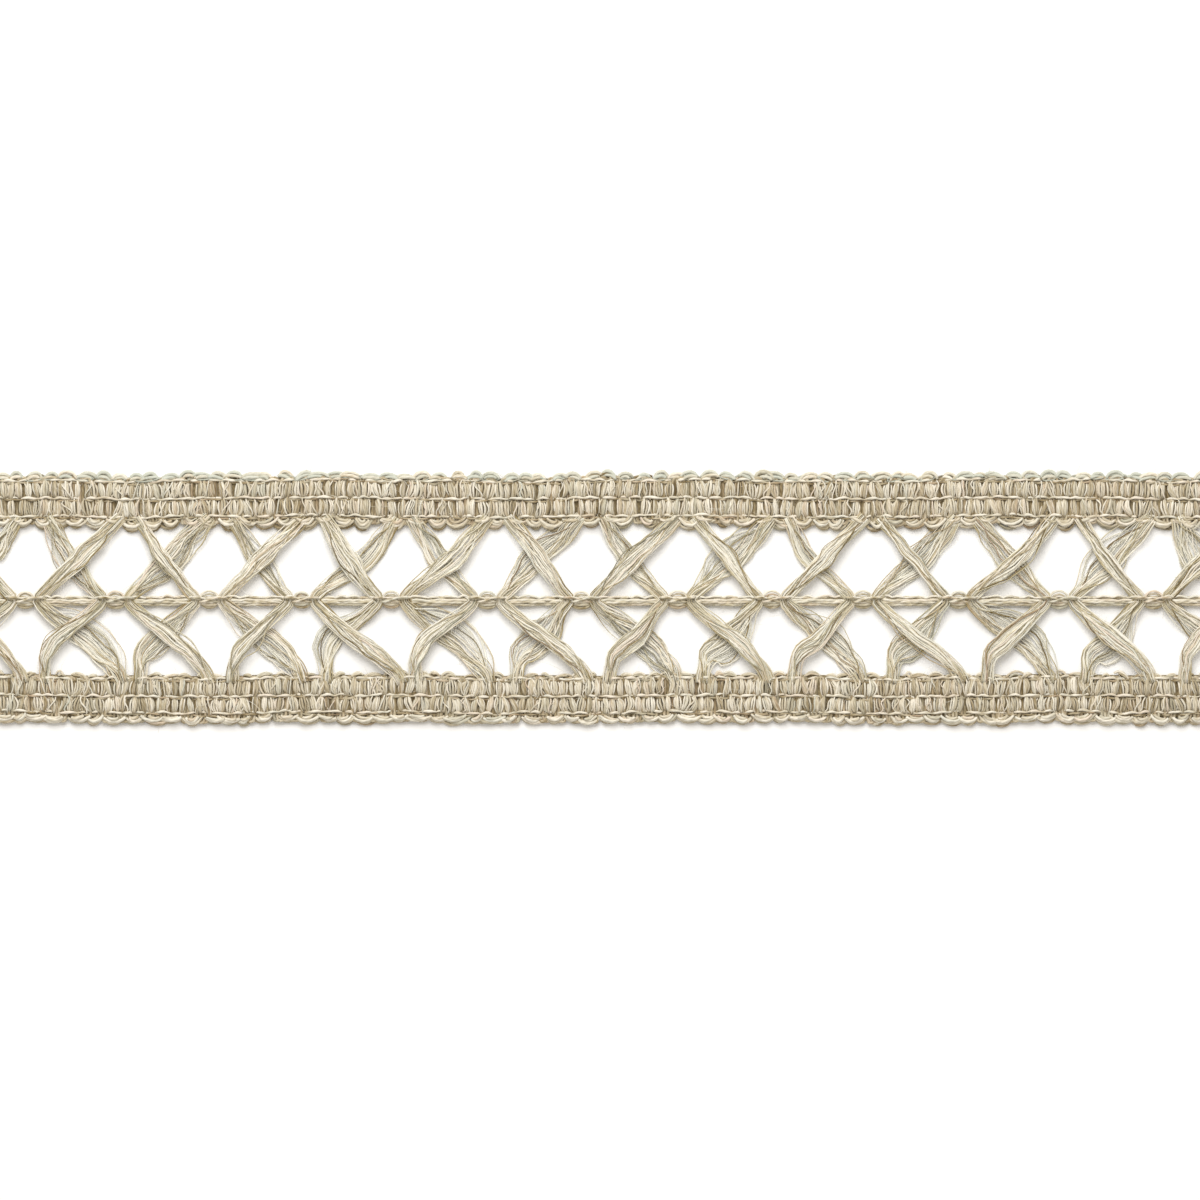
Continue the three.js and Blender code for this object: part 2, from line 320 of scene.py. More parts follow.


# the same flax, a little yellower in the slack yarns and the cord; single fibres are paler, painted light for
# the light that passes through such thin fibres
bundleLook = {
    **linenLook, "bumpShare": 0.6,
    "shades": [(0.0, "#624f1e"), (0.3, "#9c8a5d"), (0.6, "#c6bb9b"), (1.0, "#ebe6d8")],
}
chainLook = {
    **linenLook,
    "shades": [(0.0, "#5f4d24"), (0.3, "#998863"), (0.6, "#c5ba9e"), (1.0, "#e9e3d4")],
}
fibreLook = {
    **linenLook, "bumpShare": 0.1,
    "shades": [(0.0, "#867955"), (0.5, "#d1c8ae"), (1.0, "#fffcef")],
}
headingYarn = linenYarn("spun linen heading yarn", linenLook)
bundleYarn = linenYarn("slack linen bundle yarn", bundleLook)
chainYarn = linenYarn("chained linen cord", chainLook)
flaxFibre = linenYarn("loose flax fibre", fibreLook)

groundShadeLook = {
    # dark shades: painted shade of the deep layer between the stitches
    "shades": [(0.0, "#4f432e"), (0.5, "#776849"), (1.0, "#9a8b69")],
    "threads": 0.9,  # from one thread to the next but one
    "weaveShade": 0.2,
    "speckScale": 900.0,
    "bump": 0.8,
    "bumpDepth": 0.0001,
    "roughness": 0.9,
}


def shadedLinenGround(name, look):
    # plain weave seen deep between the stitches, coloured dark as painted shade for a place that is only half
    # lit: sin x * sin y plus specks
    material, tree = newMaterial(name)
    coords = addNode(tree, "TexCoord")
    pace = 2 * math.pi / (look["threads"] * 0.001)
    parts = addNode(tree, "SeparateXYZ", Vector=coords.outputs["Object"])
    warp = addNode(tree, "Math", times, i0=parts.outputs["X"], i1=pace)
    weft = addNode(tree, "Math", times, i0=parts.outputs["Y"], i1=pace)
    warpWave = addNode(tree, "Math", sineOf, i0=warp)
    weftWave = addNode(tree, "Math", sineOf, i0=weft)
    weave = addNode(tree, "Math", times, i0=warpWave, i1=weftWave)
    speck = addNode(tree, "TexNoise", Vector=coords.outputs["Object"], Scale=look["speckScale"], Detail=3.0)
    level = addNode(tree, "Math", timesPlus, i0=weave, i1=look["weaveShade"], i2=speck)
    shade = addNode(tree, "ValToRGB", stops=look["shades"], Fac=level)
    bump = addNode(tree, "Bump", Strength=look["bump"], Distance=look["bumpDepth"], Height=level)
    skin = addNode(tree, "BsdfPrincipled", Base_Color=shade, Roughness=look["roughness"], Normal=bump)
    addNode(tree, "OutputMaterial", Surface=skin)
    return material


groundShadeCloth = shadedLinenGround("woven linen ground with painted shade", groundShadeLook)
print("materials made")


# Rows are levels across the trim: outer edge, the three chains, inner edge, from the upper side down.
# Edges: which loops, the row they spring from and their level above it, the way they point, and
# whether they stand back for the bundles. Strands of a loop: share of its width and of its rise,
# height, thickness, shade. The dark strands of the domes and the lowest strand of the swags are
# painted shade under the loops.
headingShape = {
    "upper": {"rows": [25.5, 23.8, 20.3, 16.7, 14.4], "seed": 11, "sunk": (0.0, 0.55),
              "edges": [("dome", 1, 0.45, 1, False), ("swag", 3, -0.6, -1, True)]},
    "lower": {"rows": [-14.4, -15.7, -19.2, -22.5, -25.2], "seed": 12, "sunk": (-0.15, 0.4),
              "edges": [("bump", 1, 0.45, 1, False), ("hem", 3, -0.8, -1, False)]},
    "flat": (11.0, 243.36),
    "bars": {
        "count": 150, "steps": 8,
        "slip": 0.26,  # unevenness of the bars along the band
        "lean": 0.34,
        "bow": 0.25,
        "wide": (0.32, 0.84),  # from the middle of a bar to its outer plies
        "plies": [-1.0, -0.35, 0.35, 1.0],
        "pinch": (0.1, 0.72),  # how far a chain draws the plies together
        "belly": (0.95, 1.3),  # and how far they part between two chains
        "height": 0.88, "arch": (0.4, 0.75), "lowest": 0.4,
        "radius": (0.16, 0.23),
        "fat": (1.0, 1.5),  # the two middle plies are thicker
        "tone": 0.71, "innerTone": -0.06, "outerTone": 0.16,
    },
    "threads": {"count": 150, "lean": 0.9, "swing": 0.28, "arch": (0.5, 0.8), "radius": (0.12, 0.18)},
    # the lower weft's low tone is painted shade for the layer beneath the bars
    "weft": {"above": 1.1, "below": 0.9, "apart": 0.33, "height": 0.72, "radius": 0.36, "tone": 0.48},
    "chainRadius": 0.23,
    "chainDrop": (0.25, 0, 0.12),  # how much lower each of the three chains lies
    # the second thread's low tone is painted shade under the arches of the first
    "chainTone": (0.94, 0.42),  # of its first thread and its second
    "dome": {
        "count": 72, "slip": 0.4, "half": (1.35, 2.4), "rise": (0.8, 1.45), "bend": 2.9, "tint": 2.3,
        "strands": [(1.05, 0.5, 0.55, 0.3, 0.15), (1.0, 1.0, 0.75, 0.36, 0.86),
                    (0.8, 0.35, 1.0, 0.34, 0.8), (1.0, -0.25, 1.05, 0.16, 0.3)],
    },
    "swag": {
        "count": 64, "slip": 0.45, "half": (1.6, 2.8), "rise": (1.35, 2.1), "bend": 2.5, "tint": 0.15,
        "strands": [(1.0, 1.04, 0.5, 0.34, 0.34), (0.95, 0.85, 0.85, 0.34, 0.66),
                    (0.78, 0.6, 1.2, 0.36, 0.9), (0.5, 0.3, 1.3, 0.34, 0.66)],
    },
    "bump": {
        "count": 78, "slip": 0.3, "half": (0.9, 1.7), "rise": (0.35, 0.9), "bend": 2.0, "tint": 0.1,
        "strands": [(1.0, 1.0, 0.7, 0.26, 0.8), (0.75, 0.45, 0.95, 0.24, 0.55)],
    },
}
# the lowest edge has the same loops as the swags, but longer, flatter and paler
swag = headingShape["swag"]
headingShape["hem"] = {**swag, "half": (1.6, 3.0), "rise": (0.95, 1.55),
                       "strands": [(*strand[:4], strand[4] + 0.12) for strand in swag["strands"]]}

# A bundle's roots and the middles of its arms, in stitches from its knot, and its greatest widths in
# millimetres: upper root, upper middle, upper width, lower middle, lower root, lower width
bundleShape = {
    "left": [
        (-4.0, -2.9, 3.2, -3.7, -4.5, 3.3), (-4.0, -2.9, 3.3, -3.7, -4.5, 3.3),
        (-4.2, -2.9, 2.6, -3.3, -4.4, 4.2), (-4.1, -2.9, 2.4, -3.4, -4.4, 3.6),
        (-3.9, -2.7, 4.4, -3.8, -4.2, 3.3), (-4.4, -3.2, 2.8, -4.0, -4.6, 3.6),
        (-4.2, -2.6, 3.9, -2.6, -4.1, 4.6), (-4.4, -3.3, 2.6, -2.9, -4.3, 3.8),
        (-4.4, -2.8, 2.9, -2.8, -4.4, 4.4), (-4.5, -3.5, 2.4, -3.0, -4.4, 3.8),
        (-4.5, -2.9, 2.5, -2.9, -4.2, 4.0), (-4.8, -3.0, 2.6, -3.4, -4.6, 4.2),
        (-4.3, -3.0, 3.0, -2.8, -4.2, 3.6), (-4.2, -3.3, 4.4, -3.2, -4.0, 3.4),
    ],
    "right": [
        (5.1, 3.7, 3.0, 4.0, 5.6, 3.0), (5.4, 3.3, 3.6, 4.0, 5.9, 3.5),
        (5.4, 3.4, 4.0, 3.7, 5.8, 3.2), (5.4, 3.3, 4.0, 3.8, 5.7, 3.4),
        (5.6, 4.3, 2.8, 3.5, 6.1, 3.6), (5.6, 3.8, 4.0, 4.2, 6.0, 3.8),
        (5.3, 3.2, 3.6, 3.9, 6.1, 3.4), (5.4, 3.3, 4.2, 4.1, 5.8, 3.8),
        (5.4, 3.5, 3.6, 3.7, 5.6, 3.2), (5.3, 3.3, 3.4, 3.6, 5.5, 3.6),
        (5.4, 3.7, 3.8, 3.6, 6.0, 3.4), (5.6, 3.8, 3.8, 4.1, 5.8, 3.8),
        (5.2, 3.2, 4.0, 3.7, 5.6, 4.0), (5.4, 3.3, 3.8, 3.8, 5.8, 3.6),
    ],
    "firstKnot": {"left": 1, "right": 0},
    "seed": {"left": 21, "right": 22},
    "midY": 8.0,
    "pastRoot": 2.2,
    "neck": (4.3, 2.1),
    "apex": 2.6,
    "thick": 1.1,
    "rootWide": 2.8,
    "neckWide": 2.6,
    "slackWide": (0.92, 1.28),  # how much wider than laid in: an arm that passes over, and one under
    "widens": (0.2, 7.6),  # levels between which an arm opens
    "fans": (0.2, 5.0),  # the same of a lower right arm, which fans out close to its knot
    "narrows": (12.6, 16.8),  # and between which it closes again
    "drawnEarly": 3.2,  # a lower left arm closes this much nearer to its knot
    "elbow": {"left": 0.15, "right": 0.42},  # how much of its slant a lower arm keeps near its root
    "elbowDown": 3.2,  # from the middle of a lower arm to that bend
    "knotHeight": 1.5,
    "underHeight": 0.56,
    "overHeight": 1.96,
    "rootHeight": 1.25,
    "ropes": 3,  # ropes that the main strand falls into, and the yarns in each
    "ropeYarns": 4,
    "sideYarns": 3,
    "sideShare": 0.7,  # how many bundles part on the side of the knot
    "yarnRadius": 0.17,
    "flatness": 0.7,  # of its thickness, the share that the yarns fill
    "steps": 46,  # of a whole bundle, which is wholeLong from root to root
    "wholeLong": 43,
    "shortest": 2,
    "crossYarns": 4,
    "crossRadius": (0.08, 0.14),
    "fibres": 35,
    "fibreRadius": (0.045, 0.11),
}


def rootPlaces():
    # where bundles leave the upper heading, in millimetres along the trim
    places = []
    for side in ("left", "right"):
        first = bundleShape["firstKnot"][side]
        places += [knotX(first + row) + shape[0] * trim["stitch"]
                   for row, shape in enumerate(bundleShape[side])]
    return np.array(places)


def bandDrift(x, upper):
    # the two bands sway the opposite way round
    return sway(x) if upper else -sway(-x)


def headingWeft(rng, rows, upper):
    # the lower layer of the weft is a meander: x = P t / 2pi + slip and y = middle + half height * sin(pi/2
    # cos t), so it runs straight across the band and turns broadly at each edge; two plies lie side by side
    shape = headingShape["weft"]
    steps = trim["stitches"] * 12 + 1
    t = np.linspace(0, 2 * math.pi * trim["stitches"], steps)
    top, bottom = rows[0] - shape["above"], rows[4] + shape["below"]
    x = -trim["halfLength"] + trim["stitch"] / (2 * math.pi) * (t + 0.6 * np.sin(2 * t))
    x = x + 0.2 * wander(rng, 1, t, 9.0)[0]
    y = (top + bottom) / 2 + (top - bottom) / 2 * np.sin(math.pi / 2 * np.cos(t)) + bandDrift(x, upper)
    offset = np.array([[-shape["apart"]], [shape["apart"]]]) + 0.06 * wander(rng, 2, t, 5.0)
    path = np.zeros((2, steps, 3))
    path[:, :, 0] = insideEnds(x + offset, trim["turnGap"])
    path[:, :, 1] = y
    path[:, :, 2] = shape["height"] + 0.12 * wander(rng, 2, t, 7.0)
    # painted shade: it is darkened just below the two upper chains, where the stitches leave holes
    holeShade = np.exp(-((y - rows[2] + 0.75) / 0.7) ** 2) + 0.6 * np.exp(-((y - rows[1] + 0.75) / 0.6) ** 2)
    tone = shape["tone"] - 0.36 * holeShade + 0.12 * wander(rng, 2, t, 5.0)
    return path, shape["radius"], tone, 0.5 * wander(rng, 2, t, 61.0)


def headingBars(rng, rows, upper):
    # plies between two chains: x runs straight from end to end plus bow * sin(pi s), plus the ply's place,
    # which is drawn together at both ends; height and thickness swell with the same sine
    shape = headingShape["bars"]
    places = np.array(shape["plies"])[:, None]
    inner = np.abs(places) < 0.5
    bar, ply = (shape["count"], 1, 1), (shape["count"], len(places), 1)
    even = evenPlaces(shape["count"])
    s = np.linspace(-0.02, 1.02, shape["steps"])
    swell = np.sin(math.pi * np.clip(s, 0, 1))
    ends = even + shape["slip"] * rng.normal(0, 1, (4, len(even)))
    ends = ends + shape["lean"] * wander(rng, 4, even, 12.0)
    yarns = []
    for cell in (0, 1):
        top, bottom = rows[1 + cell], rows[2 + cell]
        bow = rng.normal(0, shape["bow"], bar)
        start, stop = ends[2 * cell][:, None, None], ends[2 * cell + 1][:, None, None]
        middle = start * (1 - s) + stop * s + bow * swell
        pinch = draw(rng, shape["pinch"], *bar) * (1 - s) + draw(rng, shape["pinch"], *bar) * s
        apart = draw(rng, shape["wide"], *bar) * places + rng.normal(0, 0.07, ply)
        x = middle + apart * (pinch + (draw(rng, shape["belly"], *bar) - pinch) * swell ** 0.7)
        y = top + (bottom - top) * s + rng.normal(0, 0.12, ply) + bandDrift(x, upper)
        z = shape["height"] + draw(rng, shape["arch"], *bar) * swell ** 0.6
        z = z - 0.3 * places ** 2 + rng.normal(0, 0.07, ply)
        fat = draw(rng, shape["fat"], *ply) ** inner
        radius = draw(rng, shape["radius"], *ply) * (0.72 + 0.4 * swell ** 0.7) * fat
        # painted shade: each ply is darker towards its ends, where it passes under a chain
        tone = rng.normal(shape["tone"], 0.1, bar) + rng.normal(0, 0.12, ply) - 0.16 * (1 - swell) ** 2
        tone = tone + np.where(inner, shape["innerTone"], shape["outerTone"])
        tint = rng.normal(0.06, 0.16, bar) + rng.normal(0, 0.2, ply) + 0 * s
        path = np.stack([insideEnds(x, trim["turnGap"]), y, np.maximum(z, shape["lowest"])], -1)
        yarns.append([part.reshape(-1, *part.shape[2:]) for part in (path, radius, tone, tint)])
    return [np.concatenate(part) for part in zip(*yarns)]


def headingThreads(rng, rows, upper):
    # single threads over the bars: x = start + lean * s + swing * sin(2 pi s), from one chain to the next
    shape = headingShape["threads"]
    count = shape["count"]
    each = (count, 1)
    s = np.linspace(0, 1, 9)
    cell = rng.integers(1, 3, count)
    top = np.array(rows)[cell][:, None] + draw(rng, (-0.3, 0.3), *each)
    bottom = np.array(rows)[cell + 1][:, None] + draw(rng, (-0.4, 0.3), *each)
    lean = rng.normal(0, shape["lean"], each)
    start = draw(rng, (-1, 1), *each) * (trim["halfLength"] - 3)
    x = start + lean * s + rng.normal(0, shape["swing"], each) * np.sin(2 * math.pi * s)
    y = top + (bottom - top) * s + bandDrift(x, upper)
    z = 1.0 + draw(rng, shape["arch"], *each) * np.sin(math.pi * s) ** 0.5
    radius, tone = draw(rng, shape["radius"], *each), draw(rng, (0.75, 1.0), *each)
    return np.stack([x, y, z], -1), radius, tone, rng.normal(0, 0.5, each)


def headingChains(rng, rows, upper):
    # along each chain every stitch is a low arch of height |sin|, and the thread sinks here and there
    # between the bars; a second thread runs half a stitch later, just below it, darker as painted shade
    # under the arches
    shape = headingShape
    x = endToEnd(trim["stitches"] * 6 + 1, trim["cordGap"])
    yarns = []
    for number, row in enumerate(rows[1:4]):
        for second in (0, 1):
            pace = x / trim["stitch"] + rng.uniform(0, 1) + second * 0.5 + 0.2 * wander(rng, 1, x, 19.0)[0]
            swing = np.abs(np.sin(math.pi * pace))
            sunk = ease(wander(rng, 1, x, 11.0)[0], *shape["upper" if upper else "lower"]["sunk"])
            size = 1 + 0.6 * wander(rng, 1, x, 9.0)[0]
            if second:
                y = row - 0.32 - 0.1 * swing * size
                z = 1.05 + 0.25 * swing - 0.6 * sunk
            else:
                y = row + 0.22 * swing * size - 0.07
                z = 1.28 + 0.35 * swing - shape["chainDrop"][number] - 0.65 * sunk
            y = y + 0.14 * wander(rng, 1, x, 24.0)[0] + 0.06 * wander(rng, 1, x, 7.0)[0] + bandDrift(x, upper)
            fat = (0.72 + 0.45 * swing) * (1 + 0.2 * wander(rng, 1, x, 6.0)[0])
            radius = shape["chainRadius"] * (0.8 if second else 1) * fat
            # painted shade: a thread darkens where its stitch dips between the arches
            tone = shape["chainTone"][second] - 0.3 * (1 - swing) + 0.12 * wander(rng, 1, x, 9.0)[0]
            yarns.append((np.stack([x, y, z], 1), radius, tone, 0.5 * wander(rng, 1, x, 30.0)[0]))
    return [np.array(part) for part in zip(*yarns)]


def edgeLoops(rng, look, base, way, upper, roots):
    # loops along an edge: x = middle + half width * u, y = base + way * rise * (1 - |u| ^ bend), with
    # u = sin t from just outside -1 to 1; each strand has its own share of width and rise
    each = (look["count"], 1)
    u = np.sin(np.linspace(-1.75, 1.75, 11)) * 1.04
    spot = evenPlaces(look["count"])[:, None] + rng.normal(0, look["slip"], each)
    half = draw(rng, look["half"], *each)
    rise = draw(rng, look["rise"], *each)
    if roots is not None:
        # a loop stands back where a bundle leaves the band
        nearest = np.abs(spot - roots[None, :]).min(1, keepdims=True)
        rise = rise * (0.35 + 0.65 * ease(nearest, 0.6, 1.9))
    slant = rng.normal(0, 0.22, each)
    skins = []
    for wideShare, riseShare, height, radius, tone in look["strands"]:
        width = half * wideShare * draw(rng, (0.75, 1.18), *each)
        x = spot + width * u + rng.normal(0, 0.24, each)
        y = base + way * rise * riseShare * (1 - np.abs(u) ** look["bend"]) + slant * u
        y = y + rng.normal(0, 0.07, each) + bandDrift(x, upper)
        z = height + 0.2 * rng.normal(0, 1, each) * u + 0.1 * rng.normal(0, 1, each)
        path = np.stack([insideEnds(x, trim["turnGap"]), y, np.maximum(z, 0.35)], -1)
        thick = radius * draw(rng, (0.85, 1.15), *each) * (0.75 + 0.3 * (1 - u * u))
        # painted shade: each strand darkens towards its ends, where it goes down into the band
        shade = tone + rng.normal(0, 0.07, each) - 0.08 * u * u
        hue = look["tint"] * draw(rng, (0, 1), *each) + rng.normal(0, 0.3, each)
        skins.append(yarnSkin(rng, path, thick, shade, hue, 6))
    return skins


def headingShadeSheet(name, rows, upper):
    # a closed slab on a grid: across it runs round the section, along it follows the band's sway. It lies
    # under the yarns, and its dark colour is painted shade between them
    steps = 245
    x = endToEnd(steps, trim["clothGap"])
    top, bottom = rows[1] + 0.7, rows[3] - 1.0
    section = np.array([[top, 0.45], [top - 0.3, 0.75], [(top + bottom) / 2, 0.85], [bottom + 0.3, 0.75],
                        [bottom, 0.45], [bottom + 0.3, 0.08], [(top + bottom) / 2, 0.03], [top - 0.3, 0.08]])
    around = len(section)
    points = np.zeros((steps, around, 3))
    points[:, :, 0] = x[:, None]
    points[:, :, 1] = section[:, 0] + bandDrift(x, upper)[:, None]
    points[:, :, 2] = section[:, 1]
    ids = np.arange(steps * around).reshape(steps, around)
    near, far = ids[:-1], ids[1:]
    quads = np.stack([near, far, np.roll(far, -1, 1), np.roll(near, -1, 1)], -1).reshape(-1, 4)
    caps = np.stack([ids[0], ids[-1, ::-1]])
    loops = np.concatenate([quads.ravel(), caps.ravel()])
    starts = np.concatenate([4 * np.arange(len(quads)), quads.size + around * np.arange(2)])
    flat = points.reshape(-1, 3)
    uv = flat[loops][:, :2] * 0.01
    blank = np.full(len(flat), 0.5)
    piece = meshPiece(name, flat, loops, starts, uv, blank, blank * 0, groundShadeCloth)
    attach(piece, "root")
    return piece


anchors = []  # points that stray fibres may start from: (points, share)
for side in ("upper", "lower"):
    upper = side == "upper"
    shape = headingShape[side]
    rows = shape["rows"]
    rng = np.random.default_rng(shape["seed"])
    woven = [headingBars(rng, rows, upper), headingThreads(rng, rows, upper), headingWeft(rng, rows, upper)]
    weft = yarnPiece("heading_" + side + "_weft", [yarnSkin(rng, *yarns, 5) for yarns in woven],
                     headingYarn, ["heading_" + side])
    chainSkin = yarnSkin(rng, *headingChains(rng, rows, upper), 6)
    edgeSkins = []
    for loops, row, level, way, standsBack in shape["edges"]:
        roots = rootPlaces() if standsBack else None
        edgeSkins += edgeLoops(rng, headingShape[loops], rows[row] + level, way, upper, roots)
    chains = yarnPiece("heading_" + side + "_chains", [chainSkin] + edgeSkins, headingYarn)
    ground = headingShadeSheet("heading_" + side + "_shade_ground", rows, upper)
    anchors.append((woven[0][0].reshape(-1, 3), 2.0))
    anchors.append((edgeSkins[1]["points"], 1.0))
print("headings made")


def smoothPath(knots, steps):
    # centripetal Catmull-Rom curve through the given points, evaluated at even parameters
    ends = [2 * knots[:, :1] - knots[:, 1:2], knots, 2 * knots[:, -1:] - knots[:, -2:-1]]
    wide = np.concatenate(ends, 1)
    gaps = np.linalg.norm(np.diff(wide, axis=1), axis=2, keepdims=True) ** 0.5
    place = np.linspace(0, knots.shape[1] - 1, steps)
    first = np.minimum(place.astype(int), knots.shape[1] - 2)
    w = (place - first)[None, :, None]
    p0, p1, p2, p3 = (wide[:, first + i] for i in range(4))
    d0, d1, d2 = (gaps[:, first + i] for i in range(3))
    t1 = ((p1 - p0) / d0 - (p2 - p0) / (d0 + d1) + (p2 - p1) / d1) * d1
    t2 = ((p2 - p1) / d1 - (p3 - p1) / (d1 + d2) + (p3 - p2) / d2) * d1
    return p1 + t1 * w + (-3 * p1 + 3 * p2 - 2 * t1 - t2) * w ** 2 + (2 * p1 - 2 * p2 + t1 + t2) * w ** 3


def bundleCentres(side):
    # middle line of every bundle of one side: root, arm, neck, knot and back out the other way
    shape = bundleShape
    turn = -1 if side == "left" else 1
    first, stitch, openHalf = shape["firstKnot"][side], trim["stitch"], trim["openHalf"]
    midY, pastRoot, kept = shape["midY"], shape["pastRoot"], shape["elbow"][side]
    neckX, neckY = turn * shape["neck"][0] / stitch, shape["neck"][1]
    reach = pastRoot / (openHalf - midY)
    lines = []
    for row, (topRoot, topMid, _, lowMid, lowRoot, _) in enumerate(shape[side]):
        middle = knotX(first + row)
        places = [(topRoot + reach * (topRoot - topMid), openHalf + pastRoot),
                  (topRoot, openHalf), (topMid, midY), (neckX, neckY),
                  (turn * shape["apex"] / stitch, 0), (neckX, -neckY), (lowMid, -midY),
                  (lowRoot + kept * (lowMid - lowRoot), -midY - shape["elbowDown"]), (lowRoot, -openHalf),
                  (lowRoot + reach * kept * (lowRoot - lowMid), -openHalf - pastRoot)]
        lines.append([(middle + along * stitch, y, 0.0) for along, y in places])
    return smoothPath(np.array(lines), 400)


def bundleParts(side):
    # cuts each middle line to what lies inside the length, and shares its points out evenly by distance
    shape = bundleShape
    limit = trim["halfLength"] - trim["clothGap"]
    parts = []
    for row, line in enumerate(bundleCentres(side)):
        inside = np.abs(line[:, 0]) < limit
        edges = np.flatnonzero(np.diff(np.concatenate([[0], inside.astype(int), [0]])))
        for start, stop in edges.reshape(-1, 2):
            run = line[start:stop]
            gone = np.concatenate([[0], np.cumsum(np.linalg.norm(np.diff(run, axis=0), axis=1))])
            if gone[-1] < shape["shortest"]:
                continue
            steps = max(12, int(round(shape["steps"] * gone[-1] / shape["wholeLong"])))
            even = np.linspace(0, gone[-1], steps)
            parts.append((row, np.stack([np.interp(even, gone, run[:, i]) for i in range(3)], 1)))
    return parts


def bundleFrame(side, row, line):
    # width, height and level square direction of a bundle at each point of its middle line
    shape = bundleShape
    knot = shape["firstKnot"][side] + row
    crossing = knot if side == "right" else knot - 1
    overAbove = (crossing % 2 == 1) == (side == "right")
    y = line[:, 1]
    size = np.abs(y)
    widest = np.where(y > 0, shape[side][row][2], shape[side][row][5])
    over = (y > 0) == overAbove
    widest = widest * np.where(over, *shape["slackWide"])
    fanned = (y < 0) & (side == "right")
    opened = np.where(fanned, ease(size, *shape["fans"]), ease(size, *shape["widens"]))
    spread = shape["neckWide"] + (widest - shape["neckWide"]) * opened
    early = shape["drawnEarly"] if side == "left" else 0
    wide = spread + (shape["rootWide"] - spread) * ease(size + early * (y < 0), *shape["narrows"])
    # it leaves the knot, passes over or under at the crossing, and comes to the height of its root
    share = size / trim["openHalf"]
    crossingHeight = np.where(over, shape["overHeight"], shape["underHeight"])
    height = shape["knotHeight"] + (crossingHeight - shape["knotHeight"]) * ease(share, 0.15, 0.33)
    height = height + (shape["rootHeight"] - height) * ease(share, 0.8, 1.0)
    along = np.gradient(line, axis=0)
    across = np.stack([-along[:, 1], along[:, 0], 0 * along[:, 0]], 1)
    across /= np.linalg.norm(across, axis=1, keepdims=True)
    return wide, height, across, over


def armBlend(rng, line, low, high, count=1):
    # a random value for each arm, passing smoothly from one to the other through the knot
    values = rng.uniform(low, high, (2, count, 1))
    share = ease(line[:, 1], -2.5, 2.5)[None]
    return values[0] * share + values[1] * (1 - share)


def bundleSetting(rng, side, row, line):
    # what the yarns of a bundle have in common at each point of its middle line: slack is 0 in the knot and
    # at the roots and 1 between them, and share is how much of the width the main strand takes
    even = np.arange(len(line))
    arm = np.abs(line[:, 1]) / trim["openHalf"]
    line[:, 0] += 0.22 * wander(rng, 1, even, 17.0)[0] * ease(arm, 0.2, 0.4) * (1 - ease(arm, 0.85, 1.0))
    wide, height, across, over = bundleFrame(side, row, line)
    peak = armBlend(rng, line, 0.8, 1.25)[0]
    slack = np.sin(math.pi * np.clip((arm - 0.12) / 0.9, 0, 1) ** peak) ** 0.95
    # the square direction points to +x where the line runs down, so the knot's side is found from it
    facing = 1 if side == "left" else -1
    usual = 1 if rng.uniform() < bundleShape["sideShare"] else -1
    toKnot = np.sign(across[:, 0]) * facing * usual
    share = np.where(over, armBlend(rng, line, 0.6, 0.94), armBlend(rng, line, 0.34, 0.56))
    share = np.array([np.convolve(np.pad(share[0], 3, "edge"), np.full(7, 1 / 7), "valid")])
    return types.SimpleNamespace(line=line, even=even, arm=arm, wide=wide, height=height, across=across,
                                 over=over, slack=slack, toKnot=toKnot, share=share)


def yarnPaths(bundle, offset, height):
    # the middle line + offset * the level square direction, at the given height: one path a row
    path = bundle.line[None] + offset[:, :, None] * bundle.across[None]
    path[:, :, 2] = height
    return path


def ropePlaces(rng, bundle):
    # places across the width, -1 to 1: the main strand is ropes side by side, each turning slowly about its
    # own middle, cos(spin) across and sin(spin) up, and the side yarns part from it towards the far edge
    shape, line, share = bundleShape, bundle.line, bundle.share
    ropes, loose = shape["ropes"], shape["sideYarns"]
    yarns = np.arange(ropes * shape["ropeYarns"])
    rope = yarns % ropes
    middle = np.linspace(-0.7, 0.7, ropes)[:, None] + 0.16 * wander(rng, ropes, bundle.even, 26.0)
    girth = rng.uniform(0.18, 0.3, (ropes, 1))
    turns = armBlend(rng, line, -2.6, 2.6, ropes) * bundle.arm + rng.uniform(0, 6, (ropes, 1))
    spin = turns[rope] + (yarns // ropes)[:, None] * 2 * math.pi / shape["ropeYarns"]
    strand = (middle[rope] + girth[rope] * np.cos(spin)) * share - (1 - share)
    parted = (2 * share - 1) + (1 - share) * 2 * (np.arange(1, loose + 1) / loose)[:, None]
    parted = parted + armBlend(rng, line, -0.2, 0.15, loose)
    parted[-1] += np.where(bundle.over, armBlend(rng, line, -0.3, 0.25), armBlend(rng, line, 0.1, 1.0))[0]
    return strand, parted, spin


